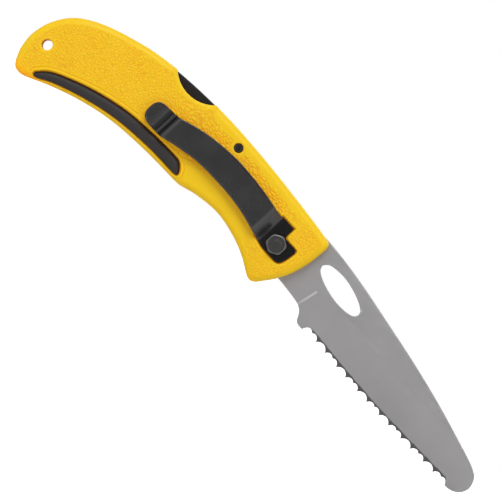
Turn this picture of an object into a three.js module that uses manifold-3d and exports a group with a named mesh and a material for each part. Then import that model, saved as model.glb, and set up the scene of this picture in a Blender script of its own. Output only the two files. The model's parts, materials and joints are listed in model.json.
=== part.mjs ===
// Folding rescue knife with a blunt-tipped serrated blade, modelled open, in millimetres.
//
// Every piece is drawn in the knife's own frame: x runs along the cutting edge towards the tip,
// z towards the spine, y through the thickness, and the pocket clip is on the -y side. The
// pivot axis passes through x = 0, z = 0, and y = 0 is the middle of the blade. The last lines
// turn the whole knife a little so that its tail and its tip are level, and bring the outer
// face of the pivot bolt's head to y = 0.

import * as THREE from 'three';
import { mergeVertices } from 'three/addons/utils/BufferGeometryUtils.js';
import Module from 'manifold-3d';

const wasm = await Module();
wasm.setup();

// Handle: two moulded shells on either side of an open slot.
const HANDLE_HALF = 6.4;        // middle of the knife to a shell's outer face
const SLOT_HALF = 2.1;          // half the width of the slot between the shells
const EDGE_ROUND_WIDE = 1.3;    // rounding of a shell's outer edge, measured across the face
const EDGE_ROUND_DEEP = 2.0;    // the same rounding, measured down the side

// Blade
const BLADE_HALF = 1.4;         // half thickness at the spine
const EDGE_HALF = 0.3;          // half thickness left at the teeth
const GRIND_TOP = 0;            // z where the flat grind starts
const GRIND_FOOT = -13;         // z where it is down to EDGE_HALF
const PLUNGE_X = 20.35;         // where the grind starts, at the ricasso, at z = 0
const PLUNGE_WIDE = 0.7;
const PLUNGE_LEAN = 0.18;       // how far it leans towards the tip for each mm of height
const TANG_RADIUS = 7.4;        // round rear of the tang, which passes under the lock bar's tooth
const NOTCH_WALL_X = -0.9;      // wall of the tang that stands in front of the tooth
const TOOTH_PERIOD = 10.6;      // one long scallop and two short ones
const LONG_SCALLOP = { half_width: 3, depth: 2.16, from_peak: 2.35 };
const SHORT_SCALLOP = { half_width: 1.95, depth: 2.07, from_peak: 1.75 };
const FIRST_PEAK_X = 32.5;
const SCALLOP_PERIODS = 6;
const FIRST_PAIR_LENGTH = 6;
const SCALLOP_STRETCH = 1.8;    // height of a scallop's half ellipse over its half width
const SCALLOP_SLOPE = 1.2;      // how far a scallop climbs the back side for each mm of thickness
const BEVEL_TOP = [             // x, and the edge bevel's height over the tooth line there
  [27.3, 1.2], [30, 1.8], [36, 2], [43, 2.1], [50, 2.1], [58, 2.1], [66, 2.1], [75, 2.1],
  [85, 2.1], [94.2, 2.1], [95.7, 1],
];
const BEVEL_SLOPE = 0.26;       // how far it goes into the clip side for each mm down
const BEVEL_ABOVE = 3;          // its cutter's reach above and below its top
const BEVEL_BELOW = 5;

// Pivot
const SHANK_RADIUS = 2.4;
const SHANK_END = 5.9;
const SHANK_BORE = 2.7;         // bore around the shank, in the shells, the clip and the nut
const BUSHING_RADIUS = 3.4;
const BUSHING_HALF = 2.0;
const BLADE_BORE = 3.7;
const WASHER_RADIUS = 6.5;
const WASHER_FACES = [1.52, 1.98];
const HEAD_ACROSS_FLATS = 6.35;
const HEAD_FACES = [-8.5, -6.1];
const NUT_ACROSS_FLATS = 7.9;
const NUT_FACES = [4.15, 6.55];
const HEX_TURN = 30;            // degrees from x to the first corner of the bolt head

// Lock bar and its pin
const PIN_X = -31.7;
const PIN_Z = 12.3;
const PIN_RADIUS = 1.3;
const PIN_HALF = 6.05;
const PIN_BORE = 1.65;
const LOCK_BAR_HALF = 1.6;
const THUMB_CUT = { x: -56.4, z: 24.5, radius: 12.4 };

// Tail
const LANYARD_HOLE = { x: -99.3, z: -11.1, radius: 1.85 };
const SPACER_HALF = 1.95;
const PEG_RADIUS = 1.5;
const PEG_HALF = 4.0;
const PEG_PLACES = [[-75, 6], [-91, -3.5]];

// Leaf spring under the lock bar
const SPRING_THICKNESS = 0.6;
const SPRING_HALF = 1.4;

// Pocket clip
const CLIP_THICKNESS = 1.1;
const FOOT_MID = -5.5;          // y of the middle of the strip, at the foot under the bolt head
const ARM_MID = -8.9;           // and at the arm, which stands clear of the shell
const CREASE_MID = -7.25;       // and at the bottom of the crease, which grips the cloth
const CLIP_POCKET_FLOOR = -4.8;

// Rubber inlays
const INLAY_BACK = 4.75;
const INLAY_CROWN = 6.5;
const INLAY_POCKET_FLOOR = 4.6;

const GAP = 0.3;                // clearance round a piece that sits in a pocket
const PAST = 1;                 // how far a cutter runs past the face that it cuts
const ROUND = 24;               // facets round a bore or a shank

const LEVEL_TURN = 3.28;        // degrees that bring the tail and the tip level

// ---------------------------------------------------------------- solids

function signedVolume(position, index) {
  const corner = [new THREE.Vector3(), new THREE.Vector3(), new THREE.Vector3()];
  let sum = 0;
  for (let i = 0; i < index.length; i += 3) {
    corner.forEach((point, k) => point.fromBufferAttribute(position, index[i + k]));
    sum += corner[0].dot(corner[1].cross(corner[2]));
  }
  return sum / 6;
}

// A closed three.js geometry as a solid for joining and cutting, with its faces turned out.
function solid(geometry) {
  const bare = geometry.clone();
  bare.deleteAttribute('normal');
  bare.deleteAttribute('uv');
  const merged = mergeVertices(bare, 1e-4);
  const index = Array.from(merged.index.array);
  if (signedVolume(merged.attributes.position, index) < 0) index.reverse();
  return new wasm.Manifold(new wasm.Mesh({
    numProp: 3,
    vertProperties: new Float32Array(merged.attributes.position.array),
    triVerts: new Uint32Array(index),
  }));
}

function geometryOf(body) {
  const mesh = body.getMesh();
  const geometry = new THREE.BufferGeometry();
  geometry.setAttribute('position', new THREE.BufferAttribute(mesh.vertProperties, 3));
  geometry.setIndex(new THREE.BufferAttribute(mesh.triVerts, 1));
  return geometry;
}

function joined(bodies) {
  return bodies.reduce((sum, body) => sum.add(body));
}

// A shape drawn in x and z, as a plate between two values of y. A rounding takes both edges
// off: wide across the face, deep down the side.
function plate(shape, [low, high], rounding = null, curveSegments = 3) {
  const deep = rounding ? rounding.deep : 0;
  const geometry = new THREE.ExtrudeGeometry(shape, {
    depth: high - low - 2 * deep,
    curveSegments,
    bevelEnabled: rounding !== null,
    bevelThickness: deep,
    bevelSize: rounding ? rounding.wide : 0,
    bevelOffset: rounding ? -rounding.wide : 0,
    bevelSegments: 3,
  });
  geometry.rotateX(Math.PI / 2);
  geometry.translate(0, high - deep, 0);
  return solid(geometry);
}

// A cylinder along y.
function rod(radius, [low, high], x = 0, z = 0, facets = ROUND) {
  const geometry = new THREE.CylinderGeometry(radius, radius, high - low, facets);
  geometry.translate(x, (low + high) / 2, z);
  return solid(geometry);
}

// A turned piece about an axis along y, from a profile of [radius, y] points.
function turned(profile, x = 0, z = 0) {
  const points = profile.map(([radius, y]) => new THREE.Vector2(radius, y));
  const geometry = new THREE.LatheGeometry(points, ROUND);
  geometry.translate(x, 0, z);
  return solid(geometry);
}

function box([x0, x1], [y0, y1], [z0, z1]) {
  const geometry = new THREE.BoxGeometry(x1 - x0, y1 - y0, z1 - z0);
  geometry.translate((x0 + x1) / 2, (y0 + y1) / 2, (z0 + z1) / 2);
  return solid(geometry);
}

// A solid through a row of rings that have the same number of points; both ends are closed.
function loft(rings) {
  const count = rings[0].length;
  const last = rings.length - 1;
  const index = [];
  for (let r = 0; r < last; r += 1) {
    for (let i = 0; i < count; i += 1) {
      const a = r * count + i;
      const b = r * count + ((i + 1) % count);
      index.push(a, b, b + count, a, b + count, a + count);
    }
  }
  for (let i = 1; i < count - 1; i += 1) {
    index.push(0, i + 1, i);
    index.push(last * count, last * count + i, last * count + i + 1);
  }
  const geometry = new THREE.BufferGeometry();
  const position = rings.flat(2);
  geometry.setAttribute('position', new THREE.Float32BufferAttribute(position, 3));
  geometry.setIndex(index);
  return solid(geometry);
}

function hexagon(acrossFlats, turn) {
  const radius = acrossFlats / Math.sqrt(3);
  const shape = new THREE.Shape();
  for (let i = 0; i < 6; i += 1) {
    const angle = THREE.MathUtils.degToRad(turn + 60 * i);
    const corner = [radius * Math.cos(angle), radius * Math.sin(angle)];
    if (i === 0) shape.moveTo(...corner);
    else shape.lineTo(...corner);
  }
  shape.closePath();
  return shape;
}

function vectors(points) {
  return points.map(([a, b]) => new THREE.Vector2(a, b));
}

// A strip of even thickness along a path, as a shape.
function strip(path, thickness, divisions) {
  const middle = path.getPoints(divisions);
  const sides = [[], []];
  middle.forEach((point, i) => {
    const before = middle[Math.max(i - 1, 0)];
    const after = middle[Math.min(i + 1, middle.length - 1)];
    const along = after.clone().sub(before).normalize();
    const across = new THREE.Vector2(-along.y, along.x).multiplyScalar(thickness / 2);
    sides[0].push(point.clone().add(across));
    sides[1].push(point.clone().sub(across));
  });
  return new THREE.Shape([...sides[0], ...sides[1].reverse()]);
}

// ---------------------------------------------------------------- handle

// Side view of the handle: spine from the front to the tail, round the tail, along the belly,
// through the finger groove to the front lower corner, and up the front.
function handleOutline() {
  const shape = new THREE.Shape();
  shape.moveTo(12.4, 11);
  shape.quadraticCurveTo(12.4, 13.35, 9.5, 13.5);
  shape.splineThru(vectors([
    [0, 14.5], [-18, 15.9], [-38, 16.6], [-54, 15.9], [-69, 14.3], [-81, 11.2], [-92, 6.9],
    [-99.6, 1.7], [-103.9, -5], [-105.4, -12], [-104.6, -18], [-102.9, -21.8],
  ]));
  shape.bezierCurveTo(-101.4, -24.6, -99, -24.7, -96, -23);
  shape.splineThru(vectors([
    [-88, -19.1], [-78, -15.3], [-66, -12.3], [-52, -10.9], [-40, -10.5],
  ]));
  shape.splineThru(vectors([
    [-36, -10.2], [-30, -8.4], [-21, -7.2], [-12, -8.5], [-5, -10.9], [0.4, -13.8],
  ]));
  shape.bezierCurveTo(1.9, -14.7, 3.4, -14.6, 4.4, -13.4);
  shape.splineThru(vectors([[7.9, -8.2], [10.5, -2.6], [11.95, 4], [12.4, 11]]));
  return shape;
}

// Crescent of the rubber inlay, grown outwards by a clearance.
function inlayOutline(grow) {
  const shape = new THREE.Shape();
  shape.moveTo(-95.4 - grow, -19.9);
  shape.splineThru(vectors([
    [-92.6 - grow / 2, -16.8 + grow], [-88, -14.1 + grow], [-78, -9.9 + grow],
    [-66, -6.6 + grow], [-54, -5.1 + grow], [-44, -4.7 + grow], [-41.2, -5.3 + grow],
    [-39.5 + grow, -6.9 + grow],
  ]));
  shape.bezierCurveTo(-38.3 + grow, -8.4, -38.5 + grow, -9.1 - grow, -40.3, -9.1 - grow);
  shape.splineThru(vectors([
    [-52, -9.3 - grow], [-66, -10.9 - grow], [-78, -14 - grow], [-88, -17.8 - grow],
    [-93.4, -20.8 - grow],
  ]));
  shape.bezierCurveTo(-94.9 - grow, -21.7 - grow, -96 - grow, -21, -95.4 - grow, -19.9);
  return shape;
}

// A mouth cut for a hole: a cylinder with a chamfer at the shell's outer face.
function chamferedHole(hole, side) {
  const face = side * HANDLE_HALF;
  const chamfer = 0.35;
  const wide = hole.radius + chamfer;
  const profile = [
    [0, 0], [hole.radius, 0], [hole.radius, face - side * chamfer], [wide, face],
    [wide, face + side * PAST], [0, face + side * PAST],
  ];
  return turned(profile, hole.x, hole.z);
}

// One shell: the rounded handle body on one side of the slot, with its bores and pockets.
function shell(side) {
  const span = (near, far) => [side * near, side * far].sort((a, b) => a - b);
  const rounding = { wide: EDGE_ROUND_WIDE, deep: EDGE_ROUND_DEEP };
  const body = plate(handleOutline(), [-HANDLE_HALF, HANDLE_HALF], rounding);
  const half = box([-120, 30], span(SLOT_HALF, HANDLE_HALF + PAST), [-40, 40]);
  const through = span(0, HANDLE_HALF + PAST);
  const cuts = [
    rod(THUMB_CUT.radius, through, THUMB_CUT.x, THUMB_CUT.z, 72),
    rod(SHANK_BORE, through),
    rod(PIN_BORE, through, PIN_X, PIN_Z),
    chamferedHole(LANYARD_HOLE, side),
    plate(inlayOutline(GAP), span(INLAY_POCKET_FLOOR, HANDLE_HALF + PAST)),
    ...PEG_PLACES.map(([x, z]) => rod(PEG_RADIUS + GAP, span(0, PEG_HALF + GAP), x, z, 16)),
  ];
  return body.intersect(half).subtract(joined(cuts));
}

function clipSideShell() {
  const pocket = plate(clipOutline(GAP), [-HANDLE_HALF - PAST, CLIP_POCKET_FLOOR]);
  const footOnly = box([-7.5, 10], [-HANDLE_HALF - PAST, 0], [-10, 12]);
  return shell(-1).subtract(pocket.intersect(footOnly));
}

function backSideShell() {
  const nutPocket = hexagon(NUT_ACROSS_FLATS + 2 * GAP, 0);
  return shell(1).subtract(plate(nutPocket, [NUT_FACES[0] - GAP, HANDLE_HALF + PAST]));
}

// Spacer between the shells at the tail. Its lower edge stands clear of the teeth and the round
// tip of the closed blade, its front arm carries the spring, and its pegs locate the shells.
function tailSpacer() {
  const region = new THREE.Shape();
  region.moveTo(-66.9, 25);
  region.lineTo(-66.9, 5);
  region.lineTo(-60, 5);
  region.lineTo(-46.8, 6.45);
  region.lineTo(-39.8, 6.45);
  region.lineTo(-39.8, 7.35);
  region.lineTo(-46.8, 7.35);
  region.lineTo(-46.8, 8.3);
  region.lineTo(-39.2, 8.3);
  region.quadraticCurveTo(-38.2, 8.2, -38.2, 7);
  region.lineTo(-38.2, 4.2);
  region.lineTo(-94, -11.7);
  region.splineThru(vectors([[-97.4, -12.8], [-99.8, -14.4], [-101.4, -16.6], [-102.1, -19.5]]));
  region.lineTo(-110, -19.5);
  region.lineTo(-110, 25);
  region.closePath();
  const span = [-SPACER_HALF, SPACER_HALF];
  const core = plate(handleOutline(), span).intersect(plate(region, span));
  const pegs = PEG_PLACES.map(([x, z]) => rod(PEG_RADIUS, [-PEG_HALF, PEG_HALF], x, z, 16));
  const hole = rod(LANYARD_HOLE.radius, [-5, 5], LANYARD_HOLE.x, LANYARD_HOLE.z);
  return joined([core, ...pegs]).subtract(hole);
}

function rubberInlay(side) {
  const rounding = { wide: 0.6, deep: 1.3 };
  const crowned = plate(inlayOutline(0), [-INLAY_CROWN, INLAY_CROWN], rounding);
  const faces = side > 0 ? [INLAY_BACK, 10] : [-10, -INLAY_BACK];
  return crowned.intersect(box([-120, 0], faces, [-40, 20]));
}

// ---------------------------------------------------------------- blade

// The line that the teeth's points lie on.
const TOOTH_LINE = new THREE.SplineCurve(vectors([
  [29.5, -11.92], [43, -12.97], [58, -13.47], [75, -13.37], [95.8, -12.75],
]));

function toothLineZ(x) {
  const points = TOOTH_LINE.getPoints(40);
  const next = Math.max(1, points.findIndex((point) => point.x >= x));
  const [a, b] = [points[next - 1], points[next]];
  return THREE.MathUtils.lerp(a.y, b.y, (x - a.x) / (b.x - a.x));
}

function thumbHole() {
  const hole = new THREE.Shape();
  hole.moveTo(15.5, 6.6);
  hole.splineThru(vectors([
    [17.6, 8.6], [24, 9.2], [31, 7.7], [35, 5.6], [35.2, 3.4], [32.6, 2.1], [27, 1.75],
    [20.5, 2.95], [16.5, 4.8], [15.5, 6.6],
  ]));
  return plate(hole, [-BLADE_HALF - PAST, BLADE_HALF + PAST]);
}

// Side view of the blade before its teeth are ground: spine, round tip, tooth line, heel,
// ricasso, and the round rear of the tang up to the wall in front of the lock bar's tooth.
function bladeOutline() {
  const shape = new THREE.Shape();
  shape.moveTo(NOTCH_WALL_X, 13.8);
  shape.lineTo(12, 13.55);
  shape.splineThru(vectors([
    [20, 13], [30, 11.85], [45, 9.5], [60, 7], [75, 3.95], [90, 0.2], [97, -1.75],
  ]));
  shape.splineThru(vectors([
    [100.7, -3.7], [102.3, -7.1], [101.8, -9.7], [100, -11.7], [97.6, -12.65], [95.8, -12.75],
  ]));
  shape.splineThru(TOOTH_LINE.points.slice().reverse());
  shape.lineTo(26, -12.65);
  shape.lineTo(24.2, -12.6);
  shape.splineThru(vectors([
    [23, -11.8], [21.6, -9.6], [19, -8], [14, -7.35], [8.5, -7.05], [0, -TANG_RADIUS],
  ]));
  shape.absarc(0, 0, TANG_RADIUS, -Math.PI / 2, Math.acos(NOTCH_WALL_X / TANG_RADIUS), true);
  shape.closePath();
  return shape;
}

// Thickness of the blade: full at the ricasso and the spine, thinning evenly to the teeth.
function grindEnvelope() {
  const section = (x, edgeHalf) => {
    const side = [[BLADE_HALF, 20], [BLADE_HALF, GRIND_TOP], [edgeHalf, GRIND_FOOT], [edgeHalf, -20]];
    const other = side.map(([y, z]) => [-y, z]).reverse();
    return [...side, ...other].map(([y, z]) => [x + PLUNGE_LEAN * z, y, z]);
  };
  return loft([
    section(-30, BLADE_HALF), section(PLUNGE_X, BLADE_HALF),
    section(PLUNGE_X + PLUNGE_WIDE, EDGE_HALF), section(120, EDGE_HALF),
  ]);
}

// What the edge bevel takes off the clip side. It fades out at both ends of the teeth.
function edgeBevel() {
  const clear = -4;
  const section = (x, top) => {
    const z = toothLineZ(x) + top;
    const face = THREE.MathUtils.mapLinear(z, GRIND_TOP, GRIND_FOOT, -BLADE_HALF, -EDGE_HALF);
    return [
      [x, face - BEVEL_SLOPE * BEVEL_ABOVE, z + BEVEL_ABOVE],
      [x, face + BEVEL_SLOPE * BEVEL_BELOW, z - BEVEL_BELOW],
      [x, clear, z - BEVEL_BELOW],
      [x, clear, z + BEVEL_ABOVE],
    ];
  };
  return loft(BEVEL_TOP.map(([x, top]) => section(x, top)));
}

// One scallop: an arch that climbs as it nears the back side, so the teeth are ground from
// that side only.
function scallop(x, { half_width: half, depth }) {
  const reach = 2;
  const arch = new THREE.Shape();
  arch.moveTo(-half, -half);
  arch.lineTo(half, -half);
  arch.absarc(0, 0, half, 0, Math.PI, false);
  arch.closePath();
  const geometry = new THREE.ExtrudeGeometry(arch, {
    depth: 2 * reach, curveSegments: 10, bevelEnabled: false,
  });
  geometry.rotateX(Math.PI / 2);
  geometry.scale(1, 1, SCALLOP_STRETCH);
  geometry.translate(0, reach, 0);
  geometry.applyMatrix4(new THREE.Matrix4().makeShear(0, 0, 0, SCALLOP_SLOPE, 0, 0));
  geometry.translate(x, 0, toothLineZ(x) + depth - SCALLOP_STRETCH * half);
  return solid(geometry);
}

function shortPair(start, end) {
  const reach = SHORT_SCALLOP.from_peak;
  return [scallop(start + reach, SHORT_SCALLOP), scallop(end - reach, SHORT_SCALLOP)];
}

function scallops() {
  const cutters = shortPair(FIRST_PEAK_X - FIRST_PAIR_LENGTH, FIRST_PEAK_X);
  for (let i = 0; i < SCALLOP_PERIODS; i += 1) {
    const start = FIRST_PEAK_X + TOOTH_PERIOD * i;
    const longEnd = start + 2 * LONG_SCALLOP.from_peak;
    cutters.push(scallop(start + LONG_SCALLOP.from_peak, LONG_SCALLOP));
    cutters.push(...shortPair(longEnd, start + TOOTH_PERIOD));
  }
  return joined(cutters);
}

function blade() {
  const blank = plate(bladeOutline(), [-BLADE_HALF, BLADE_HALF]);
  const bore = rod(BLADE_BORE, [-BLADE_HALF - PAST, BLADE_HALF + PAST]);
  const cuts = joined([scallops(), edgeBevel(), thumbHole(), bore]);
  return blank.intersect(grindEnvelope()).subtract(cuts);
}

// ---------------------------------------------------------------- lock

// The lock bar fills the spine: its tooth drops behind the tang's wall at the front, it rocks
// on its pin, and its rear end is bare in the shells' thumb cut.
function lockBar() {
  const shape = new THREE.Shape();
  shape.moveTo(-1.5, 14.2);
  shape.lineTo(-1.5, 8.2);
  shape.lineTo(-1.9, 7.8);
  shape.lineTo(-5.6, 7.8);
  shape.quadraticCurveTo(-6.2, 9.5, -8, 9.6);
  shape.lineTo(-26.5, 9.6);
  shape.quadraticCurveTo(-31.7, 7.6, -37, 10);
  shape.lineTo(-64.6, 10.6);
  shape.quadraticCurveTo(-66.3, 10.8, -66.3, 12.4);
  shape.lineTo(-66.3, 13.6);
  shape.quadraticCurveTo(-66.2, 14.45, -65.2, 14.6);
  shape.splineThru(vectors([[-54, 15.8], [-38, 16.5], [-18, 15.8], [-1.5, 14.2]]));
  const bore = rod(PIN_BORE, [-LOCK_BAR_HALF - PAST, LOCK_BAR_HALF + PAST], PIN_X, PIN_Z);
  return plate(shape, [-LOCK_BAR_HALF, LOCK_BAR_HALF], { wide: 0.25, deep: 0.25 }).subtract(bore);
}

function chamferedPin() {
  const chamfer = 0.3;
  const profile = [
    [0, -PIN_HALF], [PIN_RADIUS - chamfer, -PIN_HALF], [PIN_RADIUS, -PIN_HALF + chamfer],
    [PIN_RADIUS, PIN_HALF - chamfer], [PIN_RADIUS - chamfer, PIN_HALF], [0, PIN_HALF],
  ];
  return turned(profile, PIN_X, PIN_Z);
}

// Leaf spring: its root lies in the spacer's slot and its free end bears up on the lock bar.
function lockSpring() {
  const path = new THREE.Path();
  path.moveTo(-40.1, 6.9);
  path.lineTo(-47.2, 6.9);
  path.bezierCurveTo(-51, 6.9, -56, 8, -61.4, 9.7);
  path.quadraticCurveTo(-62.4, 10, -63.2, 9.5);
  return plate(strip(path, SPRING_THICKNESS, 6), [-SPRING_HALF, SPRING_HALF]);
}

// ---------------------------------------------------------------- pivot hardware

function pivotBolt() {
  const [outer, under] = HEAD_FACES;
  const flat = HEAD_ACROSS_FLATS / 2;
  const chamferCone = turned([
    [0, outer], [flat - 0.35, outer], [flat + 1.1, outer + 0.75], [flat + 1.1, under + PAST],
    [0, under + PAST],
  ]);
  const head = plate(hexagon(HEAD_ACROSS_FLATS, HEX_TURN), HEAD_FACES).intersect(chamferCone);
  return head.add(rod(SHANK_RADIUS, [under - 0.5, SHANK_END]));
}

function pivotNut() {
  const bore = rod(SHANK_BORE, [0, 10]);
  return plate(hexagon(NUT_ACROSS_FLATS, 0), NUT_FACES).subtract(bore);
}

function ring(inner, outer, faces) {
  return rod(outer, faces).subtract(rod(inner, [faces[0] - PAST, faces[1] + PAST]));
}

// ---------------------------------------------------------------- pocket clip

// Face view of the clip, grown outwards by a clearance: round end, waisted arm, and a foot
// with a square tab that keeps it from turning in its pocket.
function clipOutline(grow) {
  const shape = new THREE.Shape();
  const right = 6.35 + grow;
  const shoulder = 3.5 + grow;
  const tabTop = 7.8 + 1.5 * grow;
  const tabRight = 0.35 + grow;
  const bottom = -4.15 - grow;
  shape.moveTo(-61.35 - grow, 0.7);
  shape.quadraticCurveTo(-61.2 - grow, 4.2 + grow, -57.6, 4.25 + grow);
  shape.lineTo(-52, 4.75 + grow);
  shape.splineThru(vectors([
    [-46, 6.75 + grow], [-40, 8.2 + grow], [-32, 9.25 + grow], [-25, 9.45 + grow],
    [-15, 8.75 + grow], [-5.3 - grow, 7.25 + grow],
  ]));
  shape.lineTo(-5.3 - grow, tabTop);
  shape.lineTo(tabRight, tabTop);
  shape.lineTo(tabRight, shoulder + 1.1);
  shape.quadraticCurveTo(tabRight, shoulder, tabRight + 1.1, shoulder);
  shape.lineTo(right - 1.2, shoulder);
  shape.quadraticCurveTo(right, shoulder, right, shoulder - 1.3);
  shape.lineTo(right - 0.4, -1.2);
  shape.quadraticCurveTo(right - 0.9, bottom, right - 2.6, bottom);
  shape.lineTo(-2.4, bottom);
  shape.splineThru(vectors([
    [-7, -3.2 - grow], [-15, -1.4 - grow], [-22, -0.55 - grow], [-30, -0.4 - grow],
    [-38, -0.85 - grow], [-46, -2.5 - grow], [-52, -4.1 - grow],
  ]));
  shape.lineTo(-57.6, -4.15 - grow);
  shape.quadraticCurveTo(-61.2 - grow, -4.1 - grow, -61.35 - grow, -0.7);
  shape.closePath();
  return shape;
}

// Edge view of the clip: flat foot, ramp up to the raised arm, a crease that dips to the
// handle, and a lifted end.
function clipProfile() {
  const path = new THREE.Path();
  path.moveTo(8, FOOT_MID);
  path.lineTo(-4.3, FOOT_MID);
  path.quadraticCurveTo(-5.3, FOOT_MID, -6, FOOT_MID - 0.6);
  path.lineTo(-8.4, ARM_MID + 0.6);
  path.quadraticCurveTo(-9.2, ARM_MID, -10.2, ARM_MID);
  path.lineTo(-50.4, ARM_MID);
  path.quadraticCurveTo(-51.3, ARM_MID, -51.8, ARM_MID + 0.35);
  path.lineTo(-52.9, CREASE_MID - 0.25);
  path.quadraticCurveTo(-53.7, CREASE_MID + 0.25, -54.5, CREASE_MID - 0.2);
  path.lineTo(-55.2, ARM_MID + 0.85);
  path.quadraticCurveTo(-56.4, ARM_MID + 0.05, -59.4, ARM_MID - 0.1);
  path.quadraticCurveTo(-61.2, ARM_MID - 0.15, -63, ARM_MID + 0.15);
  return strip(path, CLIP_THICKNESS, 4);
}

function pocketClip() {
  const edgeView = new THREE.ExtrudeGeometry(clipProfile(), { depth: 30, bevelEnabled: false });
  edgeView.translate(0, 0, -15);
  const faceView = plate(clipOutline(0), [-12, 0], null, 4);
  return solid(edgeView).intersect(faceView).subtract(rod(SHANK_BORE, [-12, 0]));
}

// ---------------------------------------------------------------- assembly

const FINISHES = {
  yellow_nylon: { color: '#efbd2a', roughness: 0.55, metalness: 0 },
  black_nylon: { color: '#1e1d1c', roughness: 0.6, metalness: 0 },
  rubber: { color: '#3a3635', roughness: 0.75, metalness: 0 },
  steel: { color: '#959392', roughness: 0.38, metalness: 1 },
  black_steel: { color: '#2b2928', roughness: 0.45, metalness: 0.6 },
  bright_steel: { color: '#c4c4c6', roughness: 0.3, metalness: 1 },
  bronze: { color: '#b08a4a', roughness: 0.35, metalness: 1 },
};

function piece(name, body, finish) {
  const mesh = new THREE.Mesh(geometryOf(body), new THREE.MeshStandardMaterial(FINISHES[finish]));
  mesh.name = name;
  return mesh;
}

function assembly(...pieces) {
  const group = new THREE.Group();
  group.add(...pieces);
  return group;
}

const [WASHER_IN, WASHER_OUT] = WASHER_FACES;

const handle = assembly(
  piece('clip_side_shell', clipSideShell(), 'yellow_nylon'),
  piece('back_side_shell', backSideShell(), 'yellow_nylon'),
  piece('tail_spacer', tailSpacer(), 'black_nylon'),
  piece('clip_side_inlay', rubberInlay(-1), 'rubber'),
  piece('back_side_inlay', rubberInlay(1), 'rubber'),
  piece('pocket_clip', pocketClip(), 'black_steel'),
);

const lock = assembly(
  piece('lock_bar', lockBar(), 'black_steel'),
  piece('lock_bar_pin', chamferedPin(), 'black_steel'),
  piece('lock_spring', lockSpring(), 'bright_steel'),
);

const bushing = ring(SHANK_BORE, BUSHING_RADIUS, [-BUSHING_HALF, BUSHING_HALF]);

const pivot = assembly(
  piece('blade', blade(), 'steel'),
  piece('pivot_bolt', pivotBolt(), 'black_steel'),
  piece('pivot_nut', pivotNut(), 'black_steel'),
  piece('pivot_bushing', bushing, 'bright_steel'),
  piece('clip_side_washer', ring(BLADE_BORE, WASHER_RADIUS, [-WASHER_OUT, -WASHER_IN]), 'bronze'),
  piece('back_side_washer', ring(BLADE_BORE, WASHER_RADIUS, [WASHER_IN, WASHER_OUT]), 'bronze'),
);

const knife = assembly(handle, lock, pivot);
knife.rotation.y = THREE.MathUtils.degToRad(LEVEL_TURN);
knife.position.y = -HEAD_FACES[0];

export default knife;
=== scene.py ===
"""Looks of an open rescue knife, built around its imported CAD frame.

Every piece is drawn in the knife's own frame, in millimetres: x runs along the cutting edge
towards the tip, z towards the spine, and y through the thickness, with y = 0 in the middle of
the blade and the pocket clip on the -y side. Outlines come from the CAD nodes. A piece is a
plate whose two faces are heights over the (x, z) plane, or a stack of rings about an axis
along y.
"""

import json
import math

import bpy
import numpy as np
from mathutils import Matrix, Vector
from mathutils.geometry import delaunay_2d_cdt
from mathutils.kdtree import KDTree

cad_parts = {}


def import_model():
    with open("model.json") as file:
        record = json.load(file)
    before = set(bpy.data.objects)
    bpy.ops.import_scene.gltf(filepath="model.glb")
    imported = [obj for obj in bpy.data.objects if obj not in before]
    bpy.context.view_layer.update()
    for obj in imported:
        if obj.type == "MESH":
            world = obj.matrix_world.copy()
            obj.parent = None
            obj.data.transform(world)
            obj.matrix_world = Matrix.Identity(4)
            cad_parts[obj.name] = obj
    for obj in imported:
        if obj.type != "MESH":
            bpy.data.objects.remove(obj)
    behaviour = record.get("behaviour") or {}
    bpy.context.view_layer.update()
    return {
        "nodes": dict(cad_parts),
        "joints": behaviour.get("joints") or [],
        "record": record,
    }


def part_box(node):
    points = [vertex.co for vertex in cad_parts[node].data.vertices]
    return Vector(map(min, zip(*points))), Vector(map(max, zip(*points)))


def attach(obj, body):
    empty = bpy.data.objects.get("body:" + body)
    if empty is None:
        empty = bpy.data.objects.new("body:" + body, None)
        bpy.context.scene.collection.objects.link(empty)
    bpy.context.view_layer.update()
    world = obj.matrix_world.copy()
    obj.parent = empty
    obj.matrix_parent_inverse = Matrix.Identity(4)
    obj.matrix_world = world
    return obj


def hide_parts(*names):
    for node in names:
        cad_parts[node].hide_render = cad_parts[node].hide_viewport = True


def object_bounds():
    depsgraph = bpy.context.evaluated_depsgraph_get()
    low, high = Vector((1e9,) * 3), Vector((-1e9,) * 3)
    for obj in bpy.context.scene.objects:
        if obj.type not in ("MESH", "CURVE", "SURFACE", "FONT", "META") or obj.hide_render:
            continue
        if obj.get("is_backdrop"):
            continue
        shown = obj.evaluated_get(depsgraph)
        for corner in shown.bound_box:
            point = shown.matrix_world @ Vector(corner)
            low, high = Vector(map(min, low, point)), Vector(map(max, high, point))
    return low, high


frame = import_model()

MM = 0.001
LEVEL_TURN = math.radians(3.28)     # the CAD stands the knife level; its own frame is turned back
MIDDLE = frame["joints"][0]["pos_m"][1] / MM
SHARP_ABOVE = 40.0                  # degrees between faces, from which an edge is drawn sharp

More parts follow.
